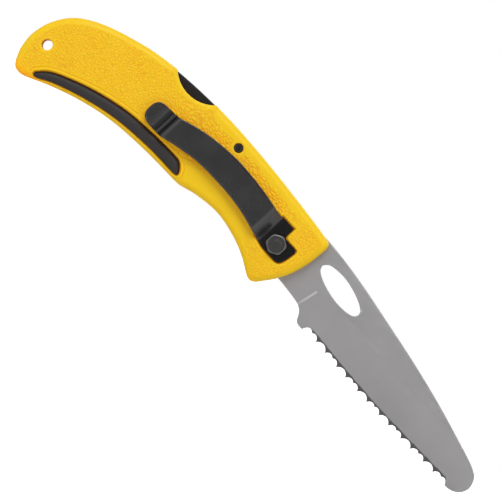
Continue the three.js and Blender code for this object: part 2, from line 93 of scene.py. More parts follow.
# Handle shells
SHELL_FACE = 6.4
SLOT_FACE = 2.1
BORDER_WIDE = 2.3                   # rounding of a shell's outer edge, across the face
BORDER_DEEP = 2.1                   # and down the side
THUMB_CUT = (-56.4, 24.5, 12.4)     # middle and radius of the cut that bares the lock bar
CUT_ROUND = 0.8                     # rounding of its edge
CLIP_POCKET_FLOOR = -4.8
NUT_POCKET_FLOOR = 3.85
INLAY_POCKET_FLOOR = 4.6
PEG_POCKET_FLOOR = 4.3
CUTS = {                            # what is cut into the face: the rounding of its edge, and
    "inlay": (0.3, 1.35, 2.1),      # how far from it the grain starts and is full
    "hardware": (0.25, 0.3, 1.0),
    "pin": (0.3, 0.7, 1.7),
    "lanyard": (0.4, 0.3, 1.1),
}
GROOVE_X = (-38.5, -3.0)            # stretch of the belly with the finger groove
GROOVE_DEEP = 0.35
GROOVE_WIDE = 7.2
RIM_HIGH = 0.02                     # raised rim of the inlay's pocket, and the fine line
RIM_WIDE = (0.7, 1.0)               # that runs round it
LINE_DEEP = 0.2
LINE_AT = 1.1
LINE_WIDE = 0.14
INLAY_RINGS = [0.5, 0.75, 0.92, 1.01, LINE_AT, 1.19, 1.28, 1.45]
GRAIN_STEP = 0.23                   # spacing of the grid that carries the moulded grain
GRAIN_DEEP = 0.26
SMALL_GRAIN = 0.95
LARGE_GRAIN = 1.1
GRAIN_SEEDS = {-1: 11, 1: 57}       # by side
COARSE_X = (-66, -52, -6, 2)        # x where the large grain starts, is full, and ends

# Blade: the same grind, scallops and bevel as the CAD
BLADE_HALF = 1.4
EDGE_HALF = 0.3
EDGE_Z = -13.0
BLADE_ROUND = 0.22                  # rounding of its outer edge and of its holes
HOLE_ROUND = 0.12
THINNEST = 0.03                     # metal left where a scallop meets the bevel
PLUNGE_X = 20.35
PLUNGE_WIDE = 0.7
PLUNGE_LEAN = 0.18
PLUNGE_Z = (-8.5, -0.6)
TEETH_X = 25.0                      # the teeth lie beyond this, and below TEETH_Z
TEETH_Z = -8.6
TOOTH_LINE = [(29.5, -11.92), (43, -12.97), (58, -13.47), (75, -13.37), (95.8, -12.75)]
FIRST_PEAK_X = 32.5
TOOTH_PERIOD = 10.6
TOOTH_PERIODS = 6
LONG_SCALLOP = (3.0, 2.16, 2.35)    # half width, depth, and distance of its middle from a peak
SHORT_SCALLOP = (1.95, 2.07, 1.75)
FIRST_PAIR_LENGTH = 6.0
SCALLOP_STRETCH = 1.8               # height of its half ellipse over its half width
SCALLOP_SLOPE = 1.2                 # the scallops climb towards the back side
BEVEL_SLOPE = 0.26                  # how far the edge bevel goes into the clip side as it drops
BEVEL_TOP = [                       # x, and its height over the tooth line there
    (27.3, 1.2), (30, 1.8), (36, 2.0), (43, 2.1), (94.2, 2.1), (95.7, 1.0),
]

# Other pieces
SPACER_HALF = 1.95
SPACER_ROUND = 0.15
CROWN_LOW = 0.1                     # an inlay's crown starts above its back by this, and
CROWN_SHORT = 0.15                  # ends this much short of its height
CLIP_VALLEY = (-56.6, -55.6, -54.4, -54.1)    # x where the clip's painted shade (valley, bend) and painted light (ramp) start, are full, and end
CLIP_BEND = (-53.7, -53.3, -52.3, -51.8)      # the clip start, are full, and end
CLIP_RAMP = (-9.6, -8.9, -5.6, -5.0)
CLIP_FOOT = (-5.2, -4.7)            # x where it goes down into its pocket
HEX_POINTS = 96                     # round a turn of the bolt's head or the nut
HEX_CORNER = 0.935                  # share of a sharp corner's radius that a worn one keeps
HEAD_ACROSS = 6.35
HEAD_HIGH = 2.4
HEX_TURN = 30.0                     # degrees from x to the bolt head's first corner
HEAD_CHAMFER = (0.35, 1.1, 0.75)    # starts inside the flats, ends outside them, depth
SHANK_RADIUS = 2.4
THREAD_LONG = 3.0
THREAD_PITCH = 0.8
THREAD_DEEP = 0.16
NUT_ACROSS = 7.9
NUT_BORE = 2.7
BUSHING_BORE = 2.7
WASHER_BORE = 3.7
PIN_HEAD = 1.58
PIN_SHANK = 1.3
PIN_SHANK_HALF = 1.9
PIN_CHAMFER = 0.3


# ---- frames and outlines

COS, SIN = math.cos(LEVEL_TURN), math.sin(LEVEL_TURN)


def to_row(x, y, z):
    """Millimetres in the knife's frame to metres in the row frame."""
    return np.stack([x * COS + z * SIN, y + MIDDLE, z * COS - x * SIN], -1) * MM


def to_knife(points):
    """Metres in the row frame to millimetres in the knife's frame."""
    x, y, z = np.asarray(points, float).T / MM
    return np.stack([x * COS - z * SIN, y - MIDDLE, x * SIN + z * COS], -1)


def node_mesh(node):
    """Merged vertices and triangles of a CAD node, in the knife's frame."""
    mesh = frame["nodes"][node].data
    mesh.calc_loop_triangles()
    co = to_knife([v.co for v in mesh.vertices])
    keys = np.round(co * 500).astype(int)
    _, first, index = np.unique(keys, axis=0, return_index=True, return_inverse=True)
    triangles = np.array([t.vertices[:] for t in mesh.loop_triangles])
    return co[first], index.reshape(-1)[triangles]


def boundary_loops(co, triangles, facing):
    """Closed (x, z) outlines round a set of triangles, with the material on the left."""
    edges = {}
    for a, b, c in triangles:
        for start, end in ((a, b), (b, c), (c, a)):
            edges[(start, end)] = True
    following = {}
    for start, end in edges:
        if (end, start) not in edges:
            following.setdefault(start, []).append(end)
    loops = []
    while following:
        start = next(iter(following))
        loop, here = [], start
        while here in following:
            loop.append(here)
            after = following[here].pop()
            if not following[here]:
                del following[here]
            here = after
        loops.append(co[loop][:, [0, 2]])
    return loops if facing < 0 else [loop[::-1] for loop in loops]


def normals(co, triangles):
    a, b, c = (co[triangles[:, k]] for k in range(3))
    return np.cross(b - a, c - a)


def flat_loops(node, y):
    """Outlines of a node's flat faces at thickness y."""
    co, triangles = node_mesh(node)
    level = np.abs(co[:, 1] - y) < 0.02
    chosen = triangles[level[triangles].all(1)]
    return boundary_loops(co, chosen, np.sign(normals(co, chosen)[:, 1].sum()))


def facing_triangles(node, facing):
    """Vertices of a node, and its triangles that face one way along y."""
    co, triangles = node_mesh(node)
    normal = normals(co, triangles)
    return co, triangles[normal[:, 1] * facing > 0.05 * np.linalg.norm(normal, axis=1)]


def facing_loops(node, facing):
    """Outlines of everything on a node that faces one way along y."""
    return boundary_loops(*facing_triangles(node, facing), facing)


def area(points):
    x, z = points.T
    return 0.5 * float(np.sum(x * np.roll(z, -1) - z * np.roll(x, -1)))


def without_crumbs(points, closer=0.02, flatter=0.002):
    """Drops points that almost coincide, that lie on the line between their neighbours, or
    that are the end of a spike."""
    kept = list(points)
    k = 0
    while k < len(kept) and len(kept) > 4:
        before, here, after = kept[k - 1], kept[k], kept[(k + 1) % len(kept)]
        chord = after - before
        length = np.hypot(*chord)
        off = abs(chord[0] * (here - before)[1] - chord[1] * (here - before)[0])
        near = np.hypot(*(here - before)) < closer
        if near or length < closer or off / length < flatter:
            kept.pop(k)
        else:
            k += 1
    return np.array(kept)


def smoothed(points, step, corner=52.0):
    """A faceted closed outline as an even, smooth one that keeps its sharp corners."""
    points = without_crumbs(points)
    count = len(points)
    ahead = np.roll(points, -1, 0) - points
    length = np.hypot(*ahead.T)
    heading = ahead / length[:, None]
    back = np.roll(heading, 1, 0)
    turn = np.degrees(np.arccos(np.clip((heading * back).sum(1), -1, 1)))
    sharp = turn > corner
    before = np.roll(length, 1)
    tangent = back * length[:, None] + heading * before[:, None]
    tangent /= np.maximum(np.hypot(*tangent.T), 1e-9)[:, None]
    made = []
    for k in range(count):
        after = (k + 1) % count
        span = length[k]
        leave = heading[k] * span if sharp[k] else tangent[k] * min(span, before[k])
        arrive = heading[k] * span if sharp[after] else tangent[after] * min(span, length[after])
        pieces = max(1, round(span / step))
        t = (np.arange(pieces) / pieces)[:, None]
        made.append(
            (1 + 2 * t) * (1 - t) ** 2 * points[k] + t * (1 - t) ** 2 * leave
            + t * t * (3 - 2 * t) * points[after] - t * t * (1 - t) * arrive
        )
    return np.vstack(made)


class Outline:
    """A closed line in the (x, z) plane, with the material on its left."""

    def __init__(self, points):
        self.points = np.asarray(points, float)
        self.tree = KDTree(len(self.points))
        for k, (x, z) in enumerate(self.points):
            self.tree.insert((x, z, 0), k)
        self.tree.balance()

    def distance(self, at):
        """Distance of each point from the line."""
        near = np.array([self.tree.find((x, z, 0))[1] for x, z in at], int)
        count = len(self.points)
        best = np.full(len(at), np.inf)
        for shift in (-1, 0):
            a = self.points[(near + shift) % count]
            b = self.points[(near + shift + 1) % count]
            along = b - a
            t = ((at - a) * along).sum(1) / np.maximum((along ** 2).sum(1), 1e-12)
            foot = a + along * np.clip(t, 0, 1)[:, None]
            best = np.minimum(best, np.hypot(*(at - foot).T))
        return best

    def contains(self, at):
        """Whether each point lies inside the closed line, whichever way it runs."""
        a, b = self.points, np.roll(self.points, -1, 0)
        inside = np.zeros(len(at), bool)
        for start in range(0, len(at), 4096):
            x, z = at[start:start + 4096].T[:, :, None]
            crosses = (a[:, 1] > z) != (b[:, 1] > z)
            rise = np.where(b[:, 1] == a[:, 1], 1, b[:, 1] - a[:, 1])
            left = x < a[:, 0] + (z - a[:, 1]) * (b[:, 0] - a[:, 0]) / rise
            inside[start:start + 4096] = (crosses & left).sum(1) % 2 == 1
        return inside

    def moved_in(self, distance):
        """Points moved into the material, without those that a bend brings too close."""
        along = np.roll(self.points, -1, 0) - np.roll(self.points, 1, 0)
        along /= np.hypot(*along.T)[:, None]
        made = self.points + distance * np.stack([-along[:, 1], along[:, 0]], -1)
        return made[self.distance(made) > 0.97 * distance]

    def turned(self):
        return Outline(self.points[::-1])


def outlines(loops, step):
    """Smooth outlines, largest first."""
    ordered = sorted(loops, key=lambda loop: -abs(area(loop)))
    return [Outline(smoothed(loop, step)) for loop in ordered if abs(area(loop)) > 0.2]


def holding(lines, x, z):
    """The smallest of the outlines that holds a point."""
    held = [line for line in lines if line.contains(np.array([[x, z]]))[0]]
    return min(held, key=lambda line: abs(area(line.points)))


# ---- heights and patterns

def smoothstep(value, low, high):
    t = np.clip((value - low) / (high - low), 0, 1)
    return t * t * (3 - 2 * t)


def between(value, low, full, end, high):
    """1 from full to end, fading to 0 at low and at high."""
    return smoothstep(value, low, full) * (1 - smoothstep(value, end, high))


def rounded_edge(distance, wide, deep=None):
    """How far a rounded edge has fallen at a distance from it."""
    deep = wide if deep is None else deep
    t = np.clip(1 - distance / wide, 0, 1)
    return deep * (1 - np.sqrt(1 - t * t))


def rings_of(wide, count):
    """Distances from an edge that share a rounding out evenly."""
    return [wide * (1 - math.cos(math.radians(90 * k / count))) for k in range(1, count + 1)]


def hashed(i, j, seed):
    """Two repeatable numbers from 0 to 1 for each whole-numbered cell."""
    n = i.astype(np.int64) * 374761393 + j.astype(np.int64) * 668265263 + seed * 974711
    n &= 0xFFFFFFFF
    n = ((n ^ (n >> 13)) * 1274126177) & 0xFFFFFFFF
    n ^= n >> 16
    return (n & 0xFFFF) / 65535, (n >> 16 & 0xFFFF) / 65535


def soft_noise(x, z, size, seed):
    """Smooth noise from -1 to 1 with features of a given size."""
    u, v = x / size, z / size
    i, j = np.floor(u), np.floor(v)
    s, t = smoothstep(u - i, 0, 1), smoothstep(v - j, 0, 1)
    low = hashed(i, j, seed)[0] * (1 - s) + hashed(i + 1, j, seed)[0] * s
    high = hashed(i, j + 1, seed)[0] * (1 - s) + hashed(i + 1, j + 1, seed)[0] * s
    return 2 * (low * (1 - t) + high * t) - 1


def pebbles(x, z, size, seed):
    """Leather grain: 1 on top of a grain and 0 in the creases between grains."""
    warp = 0.45 * size
    u = (x + warp * soft_noise(x, z, 1.7 * size, seed + 1)) / size
    v = (z + warp * soft_noise(x, z, 1.7 * size, seed + 2)) / size
    i, j = np.floor(u), np.floor(v)
    first = np.full(len(x), np.inf)
    second = first.copy()
    for di in (-1, 0, 1):
        for dj in (-1, 0, 1):
            a, b = hashed(i + di, j + dj, seed)
            away = np.hypot(i + di + a - u, j + dj + b - v)
            second = np.minimum(second, np.maximum(first, away))
            first = np.minimum(first, away)
    gap = np.clip((second - first) / 0.55, 0, 1)
    return gap * (2 - gap)


# ---- mesh building

def triangulated(lines, extra):
    """Flat points and counter-clockwise triangles of the area inside the first outline and
    outside the others."""
    flat = np.vstack([line.points for line in lines] + [extra])
    edges, start = [], 0
    for line in lines:
        count = len(line.points)
        edges += [(start + k, start + (k + 1) % count) for k in range(count)]
        start += count
    made = delaunay_2d_cdt([Vector(p) for p in flat], edges, [], 0, 1e-7, False)
    if len(made[0]) != len(flat):
        raise ValueError("outlines touch or cross")
    faces = np.array([face[:] for face in made[2]])
    a, b, c = (flat[faces[:, k]] for k in range(3))
    doubled = np.cross(b - a, c - a)
    faces[doubled < 0] = faces[doubled < 0][:, ::-1]
    doubtful = (faces < start).all(1)
    centre = flat[faces[doubtful]].mean(1)
    inside = lines[0].contains(centre)
    for line in lines[1:]:
        inside &= ~line.contains(centre)
    keep = np.abs(doubled) > 1e-9
    keep[doubtful] &= inside
    return flat, faces[keep]


def grid(step, low, high):
    """Points of an even triangular grid over a box."""
    rise = step * math.sqrt(3) / 2
    rows = np.arange(low[1], high[1] + rise, rise)
    columns = np.arange(low[0], high[0] + step, step)
    x, z = np.meshgrid(columns, rows)
    x[1::2] += step / 2
    return np.stack([x.ravel(), z.ravel()], -1)


def fill(lines, rings, step, fine=None):
    """Points inside a patch: rings beside its outlines, then a grid, which can be finer in
    one region, given as (step, function of x and z)."""
    offsets = list(zip(lines, rings))
    made = [line.moved_in(wide) for line, wides in offsets for wide in wides]
    low, high = lines[0].points.min(0), lines[0].points.max(0)
    meshes = [(step, lambda x, z: np.ones(len(x), bool))]
    if fine:
        meshes = [(step, lambda x, z: ~fine[1](x, z)), fine]
    for spacing, region in meshes:
        points = grid(spacing, low, high)
        points = points[region(*points.T)]
        points = points[lines[0].contains(points)]
        for line, wides in offsets:
            clear = max(wides, default=0) + 0.6 * spacing
            points = points[line.distance(points) > clear]
            if line is not lines[0]:
                points = points[~line.contains(points)]
        made.append(points)
    made = np.vstack(made)
    keep = lines[0].contains(made)
    for line, wides in offsets:
        if line is not lines[0]:
            keep &= ~line.contains(made)
        keep &= line.distance(made) > 0.5 * min(wides, default=0.1)
    return made[keep]


class Inset:
    """A pocket or a raised pad in a face: its outline, the height of its floor, and how fine
    the floor is."""

    def __init__(self, line, height, step=1.5, rings=()):
        self.line, self.height, self.step, self.rings = line, height, step, list(rings)


def strip(low, high):
    """Quads between two rows of vertices round the same line."""
    return np.stack([low, high, np.roll(high, -1), np.roll(low, -1)], -1).tolist()


def new_object(name, data):
    made = bpy.data.objects.new(name, data)
    bpy.context.scene.collection.objects.link(made)
    return made


class Surface:
    """Vertices and faces of one closed piece."""

    def __init__(self):
        self.points, self.faces, self.count = [], [], 0

    def add(self, x, y, z):
        made = np.broadcast_arrays(*np.atleast_1d(x, y, z))
        self.points.append(np.stack(made, -1).astype(float))
        start = self.count
        self.count += len(made[0])
        return np.arange(start, self.count)

    def patch(self, facing, lines, rings, step, height, fine=None):
        """One face, and the vertices along each of its outlines."""
        extra = fill(lines, rings, step, fine)
        flat, triangles = triangulated(lines, extra)
        x, z = flat.T
        y = height(x, z) if callable(height) else np.full(len(x), float(height))
        index = self.add(x, y, z)
        self.faces += index[triangles if facing < 0 else triangles[:, ::-1]].tolist()
        ends, start = [], 0
        for line in lines:
            ends.append(index[start:start + len(line.points)])
            start += len(line.points)
        return ends

    def face(self, facing, through, rings, step, height, insets=(), fine=None):
        """A face with its insets, and the vertices along each outline that goes through."""
        ends = [None] * len(through)
        held = {}
        for k, line in enumerate(through[1:], 1):
            for inset in insets:
                if inset.line.contains(line.points[:1])[0]:
                    held[k] = inset
        main = [k for k in range(len(through)) if k not in held]
        lines = [through[k] for k in main] + [inset.line for inset in insets]
        beside = [rings[k] for k in main] + [inset.rings for inset in insets]
        rows = self.patch(facing, lines, beside, step, height, fine)
        for k, row in zip(main, rows):
            ends[k] = row
        for inset, rim in zip(insets, rows[len(main):]):
            inner = [k for k in held if held[k] is inset]
            lines = [inset.line.turned()] + [through[k] for k in inner]
            floor = self.patch(facing, lines, [[]] * len(lines), inset.step, inset.height)
            foot = floor[0][::-1]
            self.faces += strip(rim, foot) if facing < 0 else strip(foot, rim)
            for k, row in zip(inner, floor[1:]):
                ends[k] = row
        return ends

    def close(self, near, far):
        """Walls between the near and the far face."""
        for low, high in zip(near, far):
            self.faces += strip(low, high)

    def stack(self, rings, closed=False, x=0.0, z=0.0, count=HEX_POINTS):
        """Rings about an axis along y, each a (radius, y) of numbers or of arrays over the
        turn. A ring of radius 0 is a point on the axis."""
        turn = np.arange(count) * 2 * math.pi / count
        rows = []
        for radius, y in rings:
            point = np.isscalar(radius) and radius == 0
            angle = turn[:1] if point else turn
            row = self.add(x + radius * np.cos(angle), y, z + radius * np.sin(angle))
            rows.append(np.resize(row, count) if point else row)
        following = rows[1:] + rows[:1] if closed else rows[1:]
        for low, high in zip(rows, following):
            self.faces += [list(dict.fromkeys(quad)) for quad in strip(low, high)]


def mark(made, name, values):
    """Stores a number on each vertex, for the materials."""
    made.data.attributes.new(name, "FLOAT", "POINT").data.foreach_set("value", values)


slots = {part["node"]: part["material_slot"] for part in frame["record"]["subparts"]}
body_of = {
    node: body for body, nodes in frame["record"]["behaviour"]["bodies"].items() for node in nodes
}


def centre_of(node):
    """Middle of a node's box, in the knife's frame."""
    low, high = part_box(node)
    return to_knife([(low + high) / 2])[0]


def span_of(node):
    """Lowest and highest y of a node."""
    low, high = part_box(node)
    return low.y / MM - MIDDLE, high.y / MM - MIDDLE


# ---- materials

def feed(tree, socket, value):
    """Gives a socket a number or a colour, or links another node's socket to it."""
    if isinstance(value, bpy.types.NodeSocket):
        tree.links.new(value, socket)
    else:
        socket.default_value = value


def node(tree, kind, settings=None, **inputs):
    """A shader node. Underscores in an input's name stand for spaces."""
    made = tree.nodes.new(kind)
    for key, value in (settings or {}).items():
        setattr(made, key, value)
    for key, value in inputs.items():
        feed(tree, made.inputs[key.replace("_", " ")], value)
    return made


def calculated(tree, operation, *values):
    made = node(tree, "ShaderNodeMath", {"operation": operation})
    for socket, value in zip(made.inputs, values):
        feed(tree, socket, value)
    return made.outputs[0]


def noise(tree, scale, detail=3.0, stretch=(1, 1, 1)):
    """Noise in the row frame, with scale in features per metre."""
    coords = node(tree, "ShaderNodeTexCoord").outputs["Object"]
    placed = node(tree, "ShaderNodeMapping", Vector=coords, Scale=stretch).outputs[0]
    return node(tree, "ShaderNodeTexNoise", Vector=placed, Scale=scale, Detail=detail).outputs["Fac"]


def ranged(tree, value, low, high, to_low, to_high):
    made = node(tree, "ShaderNodeMapRange", Value=value, From_Min=low, From_Max=high,
                To_Min=to_low, To_Max=to_high)
    return made.outputs[0]


def mixed(tree, factor, first, second):
    return node(tree, "ShaderNodeMixRGB", Fac=factor, Color1=first, Color2=second).outputs[0]


def attribute(tree, name):
    return node(tree, "ShaderNodeAttribute", {"attribute_name": name}).outputs["Fac"]


def bumped(tree, height, distance, strength=1.0, normal=None):
    inputs = {"Normal": normal} if normal else {}
    made = node(tree, "ShaderNodeBump", Height=height, Distance=distance, Strength=strength,
                **inputs)
    return made.outputs[0]


def worn_edge(tree):
    """Near 1 on raised edges, broken up by noise."""
    pointed = node(tree, "ShaderNodeNewGeometry").outputs["Pointiness"]
    edge = ranged(tree, pointed, 0.53, 0.6, 0, 1)
    broken = ranged(tree, noise(tree, 1500, 4), 0.35, 0.65, 0.15, 1)
    return calculated(tree, "MULTIPLY", edge, broken)


def cleared_tree(owner):
    """The node tree of a material or of the world, emptied."""
    owner.use_nodes = True
    owner.node_tree.nodes.clear()
    return owner.node_tree


def material(name, shade):
    """A material whose look is set by a function of its node tree, which returns the inputs
    of its principled shader."""
    made = bpy.data.materials.new(name)
    tree = cleared_tree(made)
    shader = node(tree, "ShaderNodeBsdfPrincipled", **shade(tree))
    node(tree, "ShaderNodeOutputMaterial", Surface=shader.outputs[0])
    return made


def yellow_nylon(tree):
    """Painted bounce light and shade: darker and more orange in the grain's creases, and more
    orange, with a faint painted glow, in its creases and under its neighbours where ambient
    occlusion finds it shut in, as light that has bounced off it would make it."""
    mottle = noise(tree, 160, 4)
    grain = noise(tree, 5200, 3)
    # The crease colour is painted shade: darker and more orange in the grain's creases and in the
    # fine line round the inlay.
    crease_shading = attribute(tree, "crease_shading")
    base = mixed(tree, crease_shading, (0.76, 0.36, 0.0, 1), (0.85, 0.55, 0.001, 1))
    colour = mixed(tree, ranged(tree, mottle, 0.35, 0.65, 0, 0.2), base, (0.82, 0.50, 0.0, 1))
    # Painted bounce light: ambient occlusion tints the colour orange and adds a faint orange glow
    # where the nylon is shut in.
    open_to_light = node(tree, "ShaderNodeAmbientOcclusion", {"samples": 6}, Distance=0.006)
    shade = ranged(tree, open_to_light.outputs["AO"], 0.35, 0.9, 0.8, 0)
    return {
        "Base_Color": mixed(tree, shade, colour, (0.95, 0.42, 0.0, 1)),
        "Emission_Color": (0.9, 0.42, 0.01, 1),
        "Emission_Strength": ranged(tree, shade, 0, 0.8, 0, 0.14),
        "Roughness": ranged(tree, mottle, 0.3, 0.7, 0.4, 0.52),
        "Specular_IOR_Level": 0.3,
        "Subsurface_Weight": 0.08,
        "Subsurface_Radius": (0.0012, 0.0006, 0.0002),
        "Normal": bumped(tree, grain, 0.00003, 0.5),
    }


def coated_steel(dark, light, sheen, rough):
    """Satin black coating over steel, worn to steel on its edges. It is painted light, steel
    coloured, where the attribute bare says so, and painted shade, near black with less sheen,
    where the attribute deep does."""
    def shade(tree):
        fine = noise(tree, 4200, 3)
        cloudy = noise(tree, 140, 4)
        # deep marks painted shade: it turns the coat near black and dulls its sheen.
        darkened = attribute(tree, "deep")
        coat = mixed(tree, ranged(tree, cloudy, 0.3, 0.7, 0, 1), dark, light)
        steel = (0.09, 0.087, 0.084, 1)
        steel_showing = mixed(tree, worn_edge(tree), coat, steel)
        # bare marks painted light: the coat turns to steel colour there.
        steel_showing = mixed(tree, attribute(tree, "bare"), steel_showing, steel)
        return {
            # Painted shade where deep says so.
            "Base_Color": mixed(tree, darkened, steel_showing, (0.005, 0.0045, 0.0043, 1)),
            "Specular_IOR_Level": ranged(tree, darkened, 0, 1, sheen, 0.25),
            "Roughness": ranged(tree, cloudy, 0.3, 0.7, rough, rough + 0.08),
            "Normal": bumped(tree, fine, 0.000007, 0.45),
        }
    return shade


def moulded(dark, light, fine, cloudy, sheen, grainy):
    """Black rubber or nylon with a fine grain; fine and cloudy are noises' scale and detail."""
    def shade(tree):
        clouds = noise(tree, *cloudy)
        return {
            "Base_Color": mixed(tree, clouds, dark, light),
            "Roughness": ranged(tree, clouds, 0.3, 0.7, 0.5, 0.62),
            "Specular_IOR_Level": sheen,
            "Normal": bumped(tree, noise(tree, *fine), 0.00003, grainy),
        }
    return shade


def blade_steel(tree):
    blasted = noise(tree, 7000, 2)
    streak = noise(tree, 900, 3, (0.12, 1, 2.6))
    cloudy = noise(tree, 70, 3)
    # The clip side's edge bevel, marked ground, is painted dark, standing in for the dark reflection
    # it shows; its lower roughness is its smoother ground finish.
    ground = attribute(tree, "ground")
    flat = mixed(tree, ranged(tree, cloudy, 0.3, 0.7, 0, 1), (0.38, 0.372, 0.378, 1),
                 (0.41, 0.40, 0.406, 1))
    worn = mixed(tree, worn_edge(tree), flat, (0.6, 0.6, 0.6, 1))
    # Where bright says so: a painted highlight along the plunge step, and lighter steel in the
    # back's scallop hollows.
    worn = mixed(tree, attribute(tree, "bright"), worn, (0.6, 0.59, 0.59, 1))
    matte = ranged(tree, streak, 0.3, 0.7, 0.4, 0.5)
    bump = bumped(tree, blasted, 0.000012, 0.6)
    return {
        "Base_Color": mixed(tree, ground, worn, (0.13, 0.125, 0.125, 1)),
        "Metallic": 1.0,
        "Roughness": mixed(tree, ground, matte, (0.28, 0.28, 0.28, 1)),
        "Normal": bumped(tree, streak, 0.000006, 0.5, bump),
    }


def worked_metal(marks, dark, light, smooth, rough):
    """Bare metal with the marks of drawing or turning: a noise's scale, detail and stretch."""
    def shade(tree):
        drawn = noise(tree, *marks)
        return {
            "Base_Color": mixed(tree, drawn, dark, light),
            "Metallic": 1.0,
            "Roughness": ranged(tree, drawn, 0.3, 0.7, smooth, rough),
            "Normal": bumped(tree, drawn, 0.00001, 0.4),
        }
    return shade


FINISHES = {name: material(name, shade) for name, shade in {
    "yellow_nylon": yellow_nylon,
    "black_nylon": moulded(
        (0.012, 0.011, 0.011, 1), (0.022, 0.02, 0.02, 1), (5000, 3), (300, 3), 0.5, 0.4),
    "black_rubber": moulded(
        (0.017, 0.015, 0.015, 1), (0.025, 0.022, 0.023, 1), (6500, 2), (220, 3), 0.4, 0.5),
    "spring_steel": worked_metal(
        (2500, 3, (0.1, 1, 1)), (0.48, 0.48, 0.49, 1), (0.6, 0.6, 0.61, 1), 0.24, 0.36),
    "blade_steel": blade_steel,
    "bronze": worked_metal(
        (1800, 3), (0.42, 0.24, 0.085, 1), (0.55, 0.33, 0.13, 1), 0.3, 0.42),
    "black_steel": coated_steel(
        (0.0045, 0.0037, 0.0039, 1), (0.007, 0.006, 0.0063, 1), 0.85, 0.22),
}.items()}
FASTENER = material("fastener_steel", coated_steel(
    (0.007, 0.006, 0.0058, 1), (0.011, 0.0095, 0.0092, 1), 0.9, 0.26))
# Painted shade: the lock bar and its pin get a darker, duller copy of the coated steel, as they lie
# down in the thumb cut and in the pin's bores.
LOCK = material("lock_steel", coated_steel(
    (0.004, 0.0028, 0.0026, 1), (0.006, 0.0042, 0.004, 1), 0.3, 0.4))
SPECIAL = {"pivot_bolt": FASTENER, "pivot_nut": FASTENER, "lock_bar": LOCK, "lock_bar_pin": LOCK}


def build(surface, node_name):
    """The piece that stands for a CAD node, with that node's body and finish, and its points
    in the knife's frame."""
    name = f"{node_name}_made"
    co = np.vstack(surface.points)
    mesh = bpy.data.meshes.new(name)
    mesh.from_pydata(to_row(*co.T), [], surface.faces)
    mesh.shade_smooth()
    mesh.set_sharp_from_angle(angle=math.radians(SHARP_ABOVE))
    mesh.materials.append(SPECIAL.get(node_name, FINISHES[slots[node_name]]))
    made = new_object(name, mesh)
    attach(made, body_of[node_name])
    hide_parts(node_name)
    return made, co


def lathed(node_name, rings, **where):
    """A piece made of rings about an axis along y."""
    surface = Surface()
    surface.stack(rings, **where)
    return build(surface, node_name)


# ---- shells

def at_thumb_cut(x, z, edge):
    """1 where the nearest edge is the thumb cut's, and 0 away from it."""
    from_cut = np.hypot(x - THUMB_CUT[0], z - THUMB_CUT[1]) - THUMB_CUT[2]
    return 1 - smoothstep(np.abs(from_cut - edge), 0.1, 1.0)


def groove(x, z):
    """Strength of the finger groove along the belly, and from the belly up."""
    along = smoothstep(x, GROOVE_X[0], GROOVE_X[0] + 6)
    along *= 1 - smoothstep(x + 0.3 * (z + 6), GROOVE_X[1] - 7, GROOVE_X[1])
    return along, 1 - smoothstep(z, 0.0, 4.0)


def inlay_line(edge, from_inlay):
    """Strength of the fine line round the inlay."""
    return np.exp(-((from_inlay - LINE_AT) / LINE_WIDE) ** 2) * smoothstep(edge, 0.8, 2.0)


def grain_strength(x, z, edge, away):
    """The grain fades beside the border, the cuts and the finger groove."""
    spine = smoothstep(z, 4, 10) * between(x, -49, -42, -6, 4)
    front = smoothstep(x, -3, 4) * (1 - smoothstep(z, 9, 12))
    border = 1.5 + 1.6 * spine - 0.9 * front - 0.7 * at_thumb_cut(x, z, edge)
    ragged = 0.5 * soft_noise(x, z, 2.6, 5)
    strength = smoothstep(edge + ragged * spine, border, border + 1.1)
    for name, (_, bare, full) in CUTS.items():
        strength *= smoothstep(away[name], bare, full)
    along, belly = groove(x, z)
    from_groove = 1 - smoothstep(edge, GROOVE_WIDE, GROOVE_WIDE + 1.5)
    beside = smoothstep(x, GROOVE_X[0] - 4, GROOVE_X[0] + 1) * np.where(x < -30, 1, along)
    strength *= 1 - beside * belly * from_groove
    strength *= 0.8 + 0.2 * soft_noise(x, z, 6, 9)
    return strength * (1 + 0.35 * between(x, *COARSE_X))


def face_drop(x, z, edge, away):
    """How far a shell's face lies below its flat, apart from the grain."""
    at_cut = at_thumb_cut(x, z, edge)
    wide = BORDER_WIDE + (CUT_ROUND - BORDER_WIDE) * at_cut
    deep = BORDER_DEEP + (CUT_ROUND - BORDER_DEEP) * at_cut
    along, belly = groove(x, z)
    reach = np.clip(1 - edge / GROOVE_WIDE, 0, 1)
    drop = rounded_edge(edge, wide, deep) + GROOVE_DEEP * along * belly * reach * (2 - reach)
    for name, (rounding, _, _) in CUTS.items():
        drop += rounded_edge(away[name], rounding)
    rim = (1 - smoothstep(away["inlay"], *RIM_WIDE)) * smoothstep(edge, 0.8, 2.0)
    return drop + LINE_DEEP * inlay_line(edge, away["inlay"]) - RIM_HIGH * rim


